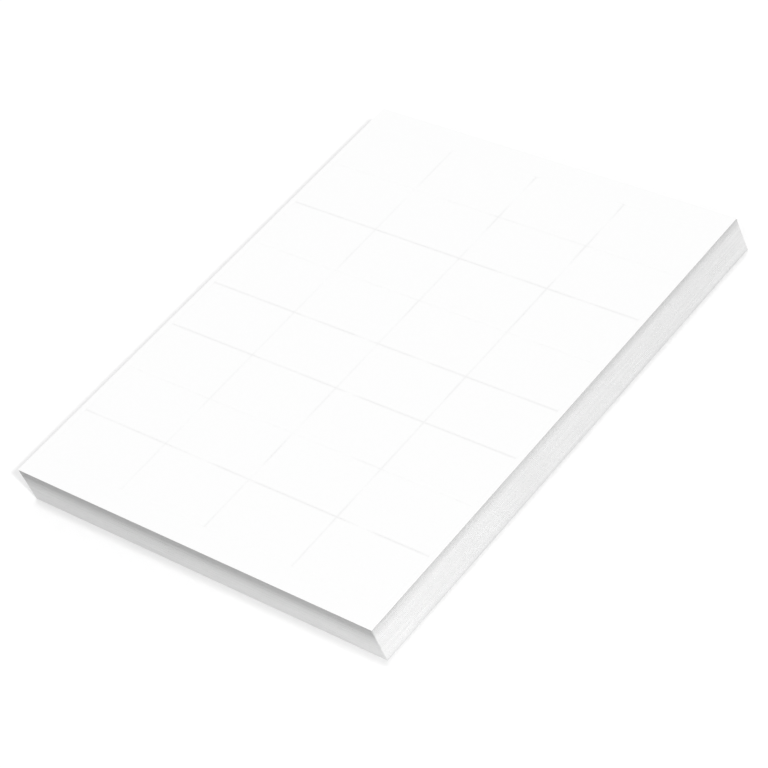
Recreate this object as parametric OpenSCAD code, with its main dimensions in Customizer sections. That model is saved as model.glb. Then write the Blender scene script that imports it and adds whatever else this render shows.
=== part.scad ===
// A pack of label sheets, lying flat: plain sheets squared up by hand in a block that
// leans a little, with the labels of the top sheet kiss-cut down to the liner.
// Millimetres, +Z up. The origin is on the surface it lies on, under the middle of the pack.

/* [Sheets] */
// Width of a sheet, across its label columns
sheet_w = 215.9; // [100:0.1:330]
// Length of a sheet, along its label columns
sheet_l = 279.4; // [140:0.1:440]
// Number of sheets in the pack, the top one included
sheet_count = 100; // [10:1:200]
// Thickness of the release liner that carries the labels
liner_t = 0.08; // [0.05:0.01:0.15]
// Thickness of the face stock with its adhesive, which the labels are cut from
face_t = 0.12; // [0.06:0.01:0.25]

/* [Labels] */
// Number of label columns across a sheet
columns = 4; // [1:1:5]
// Number of label rows along a sheet
rows = 8; // [1:1:11]
// Bare margin at each side of the label block
side_margin = 3.175; // [1:0.025:20]
// Bare margin at each end of the label block
end_margin = 12.7; // [1:0.1:40]
// Width of the kiss cut round each label
cut_w = 0.05; // [0.03:0.01:0.4]

/* [Stack] */
// How far the lowest sheet lies to the right of the top one, where the pack leans
lean_w = 2; // [-8:0.1:8]
// How far the lowest sheet lies behind the top one, where the pack leans
lean_l = 1.2; // [-8:0.1:8]
// Furthest that a single sheet lies out of line with its neighbours
jog_w = 0.12; // [0:0.01:1]

/* [Hidden] */

// Heights of the layers: the loose stack, then the top sheet's liner and its face stock
sheet_t = liner_t + face_t;
stack_count = sheet_count - 1;
stack_h = stack_count * sheet_t;
liner_z = stack_h;
face_z = liner_z + liner_t;

// The block of labels in the middle of the sheet, and the pitch of its rows and columns
block_w = sheet_w - 2 * side_margin;
block_l = sheet_l - 2 * end_margin;
column_pitch = block_w / columns;
row_pitch = block_l / rows;
label_w = column_pitch - cut_w;
label_l = row_pitch - cut_w;

// A sheet's step out of line, in thirds of the furthest, from the angle it turns through
jog_steps = 3;
side_turn = 137.5;
end_turn = 99.5;

paper_white = [0.97, 0.97, 0.96];
liner_white = [0.93, 0.92, 0.88];
edge_white = [0.90, 0.90, 0.89];

function label_name(row, column) = str("label_r", row, "_c", column);

// Where a leaning pack carries a sheet, from the lowest sheet, 0, to the top one
function leaned(sheet, lean) = lean * (0.5 - sheet / stack_count);

function out_of_line(sheet, turn) = jog_w * round(jog_steps * sin(sheet * turn)) / jog_steps;

// One wall of the stack's outline: each sheet's cut edge, from the lowest sheet up
function wall_points(half_size, lean, turn) =
    [for (sheet = [0:stack_count - 1], top = [0, 1])
        [half_size + leaned(sheet, lean) + out_of_line(sheet, turn), (sheet + top) * sheet_t]];

function reversed(points) = [for (i = [len(points) - 1:-1:0]) points[i]];

function stack_outline(size, lean, turn) =
    concat(wall_points(size / 2, lean, turn), reversed(wall_points(-size / 2, lean, turn)));

// The stack's outline seen along the sheets, drawn out across them. Both walls of a
// sheet step together, because a sheet that lies out of line keeps its own size.
module stack_profile(size, lean, turn, depth) {
    rotate([90, 0, 0])
        linear_extrude(height = depth, center = true)
            polygon(stack_outline(size, lean, turn));
}

module centred_sheet(width, length, thickness) {
    translate([-width / 2, -length / 2, 0])
        cube([width, length, thickness]);
}

// Puts a layer of the top sheet at its height, where the lean carries that sheet
module on_top(z) {
    translate([leaned(stack_count, lean_w), leaned(stack_count, lean_l), z])
        children();
}

// Every sheet under the top one, loose on each other, as one solid
module sheet_stack() {
    color(edge_white)
        intersection() {
            stack_profile(sheet_w, lean_w, side_turn, 2 * sheet_l);
            rotate([0, 0, 90])
                stack_profile(sheet_l, lean_l, end_turn, 2 * sheet_w);
        }
}

// The top sheet's release liner, whole under its labels
module backing_sheet() {
    color(liner_white)
        on_top(liner_z)
            centred_sheet(sheet_w, sheet_l, liner_t);
}

// The face stock left round the label block once the labels are cut
module label_margin() {
    past_face = face_t;
    color(paper_white)
        on_top(face_z)
            difference() {
                centred_sheet(sheet_w, sheet_l, face_t);
                translate([0, 0, -past_face])
                    centred_sheet(block_w + cut_w, block_l + cut_w, face_t + 2 * past_face);
            }
}

// One label. Rows count from the sheet's head at +Y, columns from its left side.
module label(row, column) {
    x = (column - 0.5) * column_pitch - block_w / 2;
    y = block_l / 2 - (row - 0.5) * row_pitch;
    color(paper_white)
        on_top(face_z)
            translate([x, y, 0])
                centred_sheet(label_w, label_l, face_t);
}

sheet_stack();
backing_sheet();
label_margin();
for (row = [1:rows], column = [1:columns])
    label(row, column);
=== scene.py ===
import math

import bpy
from mathutils import Matrix, Vector, noise


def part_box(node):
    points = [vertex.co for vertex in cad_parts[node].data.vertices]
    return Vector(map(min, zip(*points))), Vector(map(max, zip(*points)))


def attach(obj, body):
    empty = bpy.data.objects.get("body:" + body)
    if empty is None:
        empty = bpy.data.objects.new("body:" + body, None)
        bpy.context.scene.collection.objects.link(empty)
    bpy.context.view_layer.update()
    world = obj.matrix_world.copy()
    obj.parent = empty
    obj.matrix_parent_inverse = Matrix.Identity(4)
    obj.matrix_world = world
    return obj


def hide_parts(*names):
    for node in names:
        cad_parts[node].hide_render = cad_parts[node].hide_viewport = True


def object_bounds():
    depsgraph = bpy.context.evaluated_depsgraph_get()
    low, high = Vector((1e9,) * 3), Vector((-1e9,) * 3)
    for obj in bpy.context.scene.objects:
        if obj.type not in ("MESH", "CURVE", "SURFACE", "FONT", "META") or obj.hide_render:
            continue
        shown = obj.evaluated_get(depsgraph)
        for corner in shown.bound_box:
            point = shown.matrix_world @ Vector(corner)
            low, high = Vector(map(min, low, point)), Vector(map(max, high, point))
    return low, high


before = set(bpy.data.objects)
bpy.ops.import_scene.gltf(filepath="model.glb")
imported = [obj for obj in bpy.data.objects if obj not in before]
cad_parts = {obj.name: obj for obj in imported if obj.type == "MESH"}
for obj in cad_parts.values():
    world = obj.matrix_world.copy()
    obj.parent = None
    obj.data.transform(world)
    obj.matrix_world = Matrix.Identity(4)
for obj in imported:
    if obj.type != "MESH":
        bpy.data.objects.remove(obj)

CAD_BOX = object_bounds()
MM = 0.001

# The camera stands where the photograph was taken: turned from the near end towards the right,
# looking down, and rolled, in degrees. It aims at a point of the top sheet, given from the
# sheet's middle. The lens and the sensor are in Blender's millimetres.
VIEW_AZIMUTH = 51.14
VIEW_ELEVATION = 41.88
VIEW_ROLL = -18.52
VIEW_DISTANCE = 1269.3 * MM
VIEW_AIM = Vector((19.7, -20.1, 0.0)) * MM
LENS = 130.4
SENSOR = 36
CLIP_START = 10 * MM

# The way out from each of the four sides of a sheet, by number: near, right, far and left.
# A side is drawn in at least FEWEST_STEPS lengths.
OUTWARD = (Vector((0, -1)), Vector((1, 0)), Vector((0, 1)), Vector((-1, 0)))
FEWEST_STEPS = 2

# The cut edge of a loose sheet. It is drawn at these heights, as shares of the sheet's
# thickness, each with its share of the groove between two sheets, which is SEAM_DEPTH deep.
SHEET_LEVELS = ((0.05, 1.0), (0.30, 0.0), (0.80, 0.0), (0.95, 0.5))
SEAM_DEPTH = 0.03 * MM
# The length of one step along the edge, how far the edge wanders in the sheet's plane and up
# and down, the length of that wave, and how much it changes from one sheet to the next
EDGE_STEP = 6 * MM
EDGE_WANDER = 0.05 * MM
EDGE_LIFT = 0.02 * MM
EDGE_WAVE = 26 * MM
WANDER_DRIFT = 0.37
LIFT_DRIFT = 0.11
# How blunt a sheet's corner is, how far that reaches along its edges, and the length of the
# wave and the place in it from which each sheet gets its own bluntness
CORNER_BLUNT = 0.10 * MM
CORNER_REACH = 0.45 * MM
CORNER_WAVE = 1.7
CORNER_SEED = (7, 0.3)

# Cut edges: how much greyer they are all over, their own tone, to which the ends add painted
# shade; the painted shade just under the top of the pack, and how far down it goes, at the two
# ends and along the two sides; and the painted contact shadow at the bottom of the sides, and
# how far up it reaches.
# The ends' tone is partly the cut edges' own grey and partly painted shade
END_TONE_AND_SHADE = 0.185
# Painted shade under the top of the pack, at the ends and, below, along the sides
END_TOP_SHADE = 0.34
END_TOP_SHADE_REACH = 7.5 * MM
SIDE_TONE = 0.095
SIDE_TOP_SHADE = 0.17
SIDE_TOP_SHADE_REACH = 3.2 * MM
# Painted contact shadow at the bottom of the two sides
SIDE_FOOT_SHADOW = 0.10
FOOT_SHADOW_REACH = 1.0 * MM

# The kiss cuts: the shoulder that the die presses into the face stock on both sides of a cut,
# and the length of one step along it. Halfway across the shoulder, one part in SHOULDER_BEND
# of its depth is left. The guillotine rounds the outer edge by SHEET_ROUND.
SHOULDER_WIDTH = 0.95 * MM
SHOULDER_DEPTH = 0.03 * MM
SHOULDER_BEND = 3
CUT_STEP = 4 * MM
SHEET_ROUND = 0.02 * MM
# How open a cut stands, from 0, closed up again, to 1: the row cuts, of which those numbered
# from the near margin are open, the column cuts from the left, the cuts along the margins, the
# least for any cut, and how much it varies along a cut, with the length of that wave
OPEN_ROW_CUTS = (1, 3, 4, 6)
OPEN_ROW = 1.0
CLOSED_ROW = 0.45
OPEN_COLUMNS = (0.61, 0.70, 0.80)
MARGIN = 0.08
LEAST_OPEN = 0.04
UNEVEN = 0.9
UNEVEN_WAVE = 17 * MM

# Materials: base colours, the name of the stored grey, which holds painted shade along the open
# cuts and on the cut edges, with the edges' own tone, and the factor on the colour of the face
# stock's cuts and of the cut edges where that grey is 1
FACE_WHITE = (0.93, 0.93, 0.93)
LINER_CREAM = (0.86, 0.85, 0.83)
EDGE_WHITE = (0.92, 0.92, 0.92)
SHADE = "shade"
CUT_SHADE = 0.94
EDGE_SHADE = 0.0

# Light: the white studio all round, as it lights the pack and as the camera sees it, a soft
# key from the right, a softer one from above and a little behind on the left, and a wide, low
# fill off the near right corner. Spreads are in degrees.
STUDIO = 0.695
STUDIO_SEEN = 1.0
KEY = 0.931
KEY_SPREAD = 3.5
KEY_FROM = Vector((1.11, -0.4, 1.0))
TOP = 0.55
TOP_SPREAD = 10
TOP_FROM = Vector((-0.2, 0.09, 1.0))
FILL = 0.275
FILL_WIDTH = 300 * MM
FILL_HEIGHT = 50 * MM
FILL_OFF_CORNER = Vector((200, -200, 27)) * MM

# The floor: half its width, its white as it lights the pack, and as the camera sees it
FLOOR_HALF = 3.0
FLOOR_LIT = 0.9
FLOOR_SEEN = 0.984


def new_piece(name, vertices, faces, material):
    """A mesh object from points and faces, with its material."""
    mesh = bpy.data.meshes.new(name)
    mesh.from_pydata(vertices, [], faces)
    mesh.materials.append(material)
    piece = bpy.data.objects.new(name, mesh)
    bpy.context.scene.collection.objects.link(piece)
    return piece


def keep_shade(piece, shades):
    """Stores how grey each point of a piece is, painted shade and the cut edges' own tone, for its
    material.
    """
    layer = piece.data.attributes.new(SHADE, "FLOAT", "POINT")
    layer.data.foreach_set("value", shades)


def ring_faces(first, second, count):
    """The band of faces between two rings of points."""
    return [(first + i, first + (i + 1) % count, second + (i + 1) % count, second + i)
            for i in range(count)]


def capped(ring_count, count):
    """The faces of a closed form: the bands between its rings, and its two ends."""
    faces = [tuple(reversed(range(count)))]
    for ring in range(ring_count - 1):
        faces += ring_faces(ring * count, (ring + 1) * count, count)
    faces.append(tuple((ring_count - 1) * count + i for i in range(count)))
    return faces


def side_counts(low, high, step):
    """How many lengths each side of a rectangle is divided into."""
    return [max(FEWEST_STEPS, round((high[i] - low[i]) / step)) for i in range(2)]


def rectangle(low, high, counts, corner):
    """Points round a rectangle, anticlockwise from its lowest corner: each with its place and
    the sides it lies on. A corner lies on two."""
    corners = (Vector((low[0], low[1])), Vector((high[0], low[1])),
               Vector((high[0], high[1])), Vector((low[0], high[1])))
    points = []
    for side in range(4):
        start = corners[side]
        end = corners[(side + 1) % 4]
        share = corner / (end - start).length
        points.append((start, ((side - 1) % 4, side)))
        count = counts[side % 2]
        for i in range(count + 1):
            points.append((start.lerp(end, share + (1 - 2 * share) * i / count), (side,)))
    return points


def wave(x, y, z, length):
    """A slow random wave between about -1 and 1, the same on each run."""
    return noise.noise(Vector((x / length, y / length, z)))


def sheet_thickness():
    """One sheet: its liner and its face stock."""
    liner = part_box("backing_sheet")
    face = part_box("label_r1_c1")
    return face[1].z - liner[0].z


def stack_outline(stack, z):
    """The rectangle of the CAD stack at one height, found by looking in at its four walls."""
    low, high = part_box("sheet_stack")
    middle = (low + high) / 2
    reach = (high - low).length
    walls = []
    for out in OUTWARD:
        start = Vector((middle.x + out.x * reach, middle.y + out.y * reach, z))
        walls.append(stack.ray_cast(start, Vector((-out.x, -out.y, 0)))[1])
    near, right, far, left = walls
    return (left.x, near.y), (right.x, far.y)


def edge_grey_and_painted_shade(depth, height, side):
    """How grey a cut edge is: its own tone, greyer at the ends by painted shade, with painted shade
    by its depth under the top of the pack and, along the sides, a painted shadow by its height
    above the surface the pack lies on."""
    if side % 2:
        tone, top, reach = SIDE_TONE, SIDE_TOP_SHADE, SIDE_TOP_SHADE_REACH
        # painted contact shadow at the bottom of a side, where the pack meets the surface it lies
        # on
        foot = SIDE_FOOT_SHADOW * math.exp(-(height / FOOT_SHADOW_REACH) ** 2)
    else:
        tone, top, reach, foot = END_TONE_AND_SHADE, END_TOP_SHADE, END_TOP_SHADE_REACH, 0.0
    # painted shade just under the top of the pack, fading downwards
    top *= math.exp(-(depth / reach) ** 2)
    return 1 - (1 - tone) * (1 - top) * (1 - foot)


def loose_sheets(material):
    """Every sheet under the top one, each with its own cut edge, a fine groove between two
    sheets, and the small waves of a pack that was squared up by hand."""
    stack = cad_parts["sheet_stack"]
    low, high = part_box("sheet_stack")
    thickness = sheet_thickness()
    count = round((high.z - low.z) / thickness)
    counts = side_counts(low, high, EDGE_STEP)
    vertices = []
    shades = []
    for sheet in range(count):
        outline = stack_outline(stack, low.z + (sheet + 0.5) * thickness)
        points = rectangle(*outline, counts, CORNER_REACH)
        blunt = CORNER_BLUNT * (1 + wave(sheet, *CORNER_SEED, CORNER_WAVE))
        for share, groove in SHEET_LEVELS:
            for place, sides in points:
                drift = wave(place.x, place.y, sheet * WANDER_DRIFT, EDGE_WAVE / 2)
                inward = groove * SEAM_DEPTH + EDGE_WANDER * (0.5 + 0.5 * drift)
                if len(sides) == 2:
                    inward += blunt
                at = place - inward * sum((OUTWARD[side] for side in sides), Vector((0, 0)))
                lift = EDGE_LIFT * wave(place.x, place.y, sheet * LIFT_DRIFT, EDGE_WAVE)
                z = low.z + (sheet + share) * thickness + lift
                z = min(max(z, low.z), high.z)
                if sheet == 0 and share == SHEET_LEVELS[0][0]:
                    z = low.z
                if sheet == count - 1 and share == SHEET_LEVELS[-1][0]:
                    z = high.z
                vertices.append((at.x, at.y, z))
                greys = [edge_grey_and_painted_shade(high.z - z, z - low.z, side) for side in sides]
                shades.append(sum(greys) / len(greys))
    ring = len(points)
    piece = new_piece("loose_sheets", vertices, capped(len(vertices) // ring, ring), material)
    keep_shade(piece, shades)
    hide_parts("sheet_stack")
    return piece


def cut_width():
    """How far apart two labels stand in the CAD."""
    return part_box("label_r1_c2")[0].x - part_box("label_r1_c1")[1].x


def openness(cut, place):
    """How open a cut stands at one place: paper never springs back evenly."""
    opened = cut * (1 + UNEVEN * wave(place.x, place.y, 0.0, UNEVEN_WAVE))
    return min(1.0, max(LEAST_OPEN, opened))


def pressed_ring(points, cuts, z, share, width, into):
    """A ring along cuts in the face stock: the cuts close up towards their middle where they
    aren't open, and the ring steps back from them by a share of the pressed shoulder. Each point
    keeps a painted shade, darkest at an open cut and fading across the shoulder. The face stock
    lies inside the ring where into is 1, and outside it where into is -1."""
    vertices = []
    shades = []
    for place, sides in points:
        at = place.copy()
        shade = 0.0
        for side in sides:
            opened = openness(cuts[side], place)
            at -= into * OUTWARD[side] * (share * SHOULDER_WIDTH - (1 - opened) * width / 2)
            # painted shade along the open cuts, where the slot would be dark
            shade = max(shade, (opened - CLOSED_ROW) / (1 - CLOSED_ROW))
        vertices.append((at.x, at.y, z))
        shades.append((1 - share) * shade)
    return vertices, shades


def label_cuts(row, column, rows, columns):
    """The cuts round one label: near, right, far and left."""

    def row_cut(number):
        if number in (0, rows):
            return MARGIN
        return OPEN_ROW if number in OPEN_ROW_CUTS else CLOSED_ROW

    def column_cut(number):
        return MARGIN if number in (0, columns) else OPEN_COLUMNS[number - 1]

    near = rows - row
    return row_cut(near), column_cut(column), row_cut(near + 1), column_cut(column - 1)


def label(name, cuts, material):
    """One label: a flat patch of face stock whose edges the die has pressed down a little."""
    low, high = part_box(name)
    points = rectangle(low, high, side_counts(low, high, CUT_STEP), CUT_STEP / 2)
    levels = ((low.z, 0.0), (high.z - SHOULDER_DEPTH, 0.0),
              (high.z - SHOULDER_DEPTH / SHOULDER_BEND, 0.5), (high.z, 1.0))
    vertices = []
    shades = []
    for z, share in levels:
        ring, ring_shades = pressed_ring(points, cuts, z, share, cut_width(), 1)
        vertices += ring
        shades += ring_shades
    piece = new_piece(name + "_face", vertices, capped(len(levels), len(points)), material)
    keep_shade(piece, shades)
    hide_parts(name)
    return piece


def margin(rows, columns, material):
    """The face stock round the block of labels: its cut inner edge, and its outer edge that
    the guillotine has rounded a little. All its rings have the same number of points."""
    low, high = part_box("label_margin")
    width = cut_width()
    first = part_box(f"label_r{rows}_c1")[0]
    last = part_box(f"label_r1_c{columns}")[1]
    counts = side_counts(low, high, CUT_STEP)

    def ring_at(start, end):
        return rectangle(start, end, counts, CUT_STEP / 2)

    outline = ring_at(low, high)
    rounded = ring_at((low.x + SHEET_ROUND, low.y + SHEET_ROUND),
                      (high.x - SHEET_ROUND, high.y - SHEET_ROUND))
    window = ring_at((first.x - width, first.y - width), (last.x + width, last.y + width))
    vertices = []
    shades = []
    for points, z in ((outline, low.z), (outline, high.z - SHEET_ROUND), (rounded, high.z)):
        vertices += [(place.x, place.y, z) for place, _ in points]
        shades += [0.0] * len(points)
    cuts = (MARGIN,) * 4
    for z, share in ((high.z, 1.0), (high.z - SHOULDER_DEPTH, 0.0), (low.z, 0.0)):
        ring, ring_shades = pressed_ring(window, cuts, z, share, width, -1)
        vertices += ring
        shades += ring_shades
    count = len(outline)
    ring_total = len(vertices) // count
    faces = []
    for ring in range(ring_total):
        faces += ring_faces(ring * count, (ring + 1) % ring_total * count, count)
    piece = new_piece("margin_face", vertices, faces, material)
    keep_shade(piece, shades)
    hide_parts("label_margin")
    return piece


class Finish:
    """A material whose nodes are laid out piece by piece."""

    def __init__(self, name, roughness, specular):
        self.material = bpy.data.materials.new(name)
        self.material.use_nodes = True
        self.tree = self.material.node_tree
        self.shader = self.tree.nodes["Principled BSDF"]
        self.shader.inputs["Roughness"].default_value = roughness
        self.shader.inputs["Specular IOR Level"].default_value = specular

    def grain(self, scale, detail, stretch=(1, 1, 1)):
        """Noise in the object's own space, stretched along its axes."""
        place = self.tree.nodes.new("ShaderNodeTexCoord")
        mapping = self.tree.nodes.new("ShaderNodeMapping")
        mapping.inputs["Scale"].default_value = stretch
        texture = self.tree.nodes.new("ShaderNodeTexNoise")
        texture.inputs["Scale"].default_value = scale
        texture.inputs["Detail"].default_value = detail
        self.tree.links.new(place.outputs["Object"], mapping.inputs["Vector"])
        self.tree.links.new(mapping.outputs["Vector"], texture.inputs["Vector"])
        return texture.outputs["Fac"]

    def spread(self, value, start, end):
        """A value between 0 and 1, mapped from a start to an end."""
        node = self.tree.nodes.new("ShaderNodeMapRange")
        node.inputs["To Min"].default_value = start
        node.inputs["To Max"].default_value = end
        self.tree.links.new(value, node.inputs["Value"])
        return node.outputs["Result"]

    def times(self, first, *others):
        """Several values multiplied."""
        for other in others:
            node = self.tree.nodes.new("ShaderNodeMath")
            node.operation = "MULTIPLY"
            self.tree.links.new(first, node.inputs[0])
            self.tree.links.new(other, node.inputs[1])
            first = node.outputs[0]
        return first

    def stored_shade(self, darkest):
        """The piece's stored grey, painted shade and the cut edges' own tone, as a factor from 1
        down.
        """
        node = self.tree.nodes.new("ShaderNodeAttribute")
        node.attribute_name = SHADE
        return self.spread(node.outputs["Fac"], start=1.0, end=darkest)

    def colour(self, base, factor):
        """The base colour, lighter and darker by a factor."""
        node = self.tree.nodes.new("ShaderNodeVectorMath")
        node.operation = "SCALE"
        node.inputs[0].default_value = base
        self.tree.links.new(factor, node.inputs["Scale"])
        self.tree.links.new(node.outputs["Vector"], self.shader.inputs["Base Color"])

    def bump(self, height, distance, strength):
        """Relief from a height between 0 and 1."""
        node = self.tree.nodes.new("ShaderNodeBump")
        node.inputs["Distance"].default_value = distance
        node.inputs["Strength"].default_value = strength
        self.tree.links.new(height, node.inputs["Height"])
        self.tree.links.new(node.outputs["Normal"], self.shader.inputs["Normal"])


def face_paper():
    """Matt uncoated paper: faint cloudy formation, fine fibres, and painted shade along the open
    cuts.
    """
    finish = Finish("face_paper", roughness=0.82, specular=0.25)
    clouds = finish.spread(finish.grain(scale=420, detail=3), start=0.994, end=1.004)
    fibres = finish.spread(finish.grain(scale=5200, detail=2), start=0.997, end=1.002)
    finish.colour(FACE_WHITE, finish.times(clouds, fibres, finish.stored_shade(CUT_SHADE)))
    finish.bump(finish.grain(scale=3800, detail=3), distance=0.02 * MM, strength=0.35)
    return finish.material


def liner_paper():
    """Smooth silicone-coated liner, a little greyer and glossier than the face stock."""
    finish = Finish("liner_paper", roughness=0.45, specular=0.4)
    clouds = finish.spread(finish.grain(scale=900, detail=2), start=0.97, end=1.0)
    finish.colour(LINER_CREAM, clouds)
    finish.bump(finish.grain(scale=2600, detail=2), distance=0.01 * MM, strength=0.2)
    return finish.material


def sheet_edges():
    """Guillotined edges: every sheet a little different, long soft bands over several sheets,
    rough fibre ends, and the stored grey: the edges' own tone, with painted shade under the top
    of the pack and at the bottom of the sides."""
    finish = Finish("sheet_edges", roughness=0.95, specular=0.1)
    sheets = finish.spread(finish.grain(scale=60, detail=3, stretch=(1, 1, 90)),
                           start=0.94, end=1.05)
    bands = finish.spread(finish.grain(scale=40, detail=4, stretch=(0.5, 0.5, 26)),
                          start=0.93, end=1.06)
    patches = finish.spread(finish.grain(scale=30, detail=2), start=0.98, end=1.02)
    fibres = finish.spread(finish.grain(scale=2600, detail=2, stretch=(0.5, 0.5, 2)),
                           start=0.97, end=1.02)
    grey = finish.stored_shade(EDGE_SHADE)
    finish.colour(EDGE_WHITE, finish.times(sheets, bands, patches, fibres, grey))
    finish.bump(finish.grain(scale=3000, detail=3, stretch=(0.4, 0.4, 3)),
                distance=0.03 * MM, strength=0.5)
    return finish.material


def seen_or_lit(tree, lit, seen, target):
    """Joins the shader that lights the object with the one that the camera sees, directly or
    in a gloss or through glass."""
    rays = tree.nodes.new("ShaderNodeLightPath")
    ray = rays.outputs["Is Camera Ray"]
    for other in ("Is Glossy Ray", "Is Transmission Ray"):
        either = tree.nodes.new("ShaderNodeMath")
        either.operation = "MAXIMUM"
        tree.links.new(ray, either.inputs[0])
        tree.links.new(rays.outputs[other], either.inputs[1])
        ray = either.outputs[0]
    mix = tree.nodes.new("ShaderNodeMixShader")
    tree.links.new(ray, mix.inputs[0])
    tree.links.new(lit.outputs[0], mix.inputs[1])
    tree.links.new(seen.outputs[0], mix.inputs[2])
    tree.links.new(mix.outputs[0], target.inputs["Surface"])


def floor():
    """A plain white floor that keeps the shadow of the pack."""
    material = bpy.data.materials.new("floor_white")
    material.use_nodes = True
    tree = material.node_tree
    tree.nodes.clear()
    shaders = []
    for white in (FLOOR_LIT, FLOOR_SEEN):
        shader = tree.nodes.new("ShaderNodeBsdfDiffuse")
        shader.inputs["Color"].default_value = (white, white, white, 1)
        shaders.append(shader)
    seen_or_lit(tree, *shaders, tree.nodes.new("ShaderNodeOutputMaterial"))
    z = CAD_BOX[0].z
    corners = [(x * FLOOR_HALF, y * FLOOR_HALF, z) for x, y in ((-1, -1), (1, -1), (1, 1), (-1, 1))]
    new_piece("floor", corners, [(0, 1, 2, 3)], material)


def studio():
    """The white studio round the object."""
    world = bpy.data.worlds.new("studio")
    bpy.context.scene.world = world
    world.use_nodes = True
    tree = world.node_tree
    tree.nodes.clear()
    shaders = []
    for strength in (STUDIO, STUDIO_SEEN):
        shader = tree.nodes.new("ShaderNodeBackground")
        shader.inputs["Color"].default_value = (1, 1, 1, 1)
        shader.inputs["Strength"].default_value = strength
        shaders.append(shader)
    seen_or_lit(tree, *shaders, tree.nodes.new("ShaderNodeOutputWorld"))


def add_lamp(light, come_from):
    """Puts a lamp in the scene, turned so that it shines from one direction."""
    lamp = bpy.data.objects.new(light.name, light)
    lamp.rotation_euler = come_from.to_track_quat("Z", "Y").to_euler()
    bpy.context.scene.collection.objects.link(lamp)
    return lamp


def sun(name, power, spread, come_from):
    """A lamp too far off to have a place."""
    light = bpy.data.lights.new(name, "SUN")
    light.energy = power
    light.angle = math.radians(spread)
    add_lamp(light, come_from)


def fill():
    """The low lamp off the near right corner."""
    light = bpy.data.lights.new("fill", "AREA")
    light.energy = FILL
    light.shape = "RECTANGLE"
    light.size = FILL_WIDTH
    light.size_y = FILL_HEIGHT
    corner = Vector((CAD_BOX[1].x, CAD_BOX[0].y, CAD_BOX[0].z))
    add_lamp(light, FILL_OFF_CORNER).location = corner + FILL_OFF_CORNER


def camera():
    """The camera at the photograph's viewing angle."""
    low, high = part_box("backing_sheet")
    aim = Vector(((low.x + high.x) / 2, (low.y + high.y) / 2, CAD_BOX[1].z)) + VIEW_AIM
    azimuth = math.radians(VIEW_AZIMUTH)
    elevation = math.radians(VIEW_ELEVATION)
    back = Vector((math.sin(azimuth) * math.cos(elevation),
                   -math.cos(azimuth) * math.cos(elevation), math.sin(elevation)))
    lens = bpy.data.cameras.new("camera")
    lens.lens = LENS
    lens.sensor_width = SENSOR
    lens.clip_start = CLIP_START
    eye = bpy.data.objects.new("camera", lens)
    bpy.context.scene.collection.objects.link(eye)
    roll = Matrix.Rotation(math.radians(VIEW_ROLL), 4, "Z")
    place = back.to_track_quat("Z", "Y").to_matrix().to_4x4() @ roll
    place.translation = aim + back * VIEW_DISTANCE
    eye.matrix_world = place
    bpy.context.scene.camera = eye


def label_grid():
    """How many rows and columns of labels the sheet has."""
    names = [name.split("_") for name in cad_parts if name.startswith("label_r")]
    return max(int(name[1][1:]) for name in names), max(int(name[2][1:]) for name in names)


paper = face_paper()
rows, columns = label_grid()
pieces = [loose_sheets(sheet_edges()), margin(rows, columns, paper)]
for row in range(1, rows + 1):
    for column in range(1, columns + 1):
        cuts = label_cuts(row, column, rows, columns)
        pieces.append(label(f"label_r{row}_c{column}", cuts, paper))
for piece in pieces:
    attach(piece, "root")
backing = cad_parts["backing_sheet"]
backing.data.materials.clear()
backing.data.materials.append(liner_paper())
floor()
studio()
sun("key", KEY, KEY_SPREAD, KEY_FROM)
sun("top", TOP, TOP_SPREAD, TOP_FROM)
fill()
camera()
bpy.context.scene.view_settings.view_transform = "Standard"
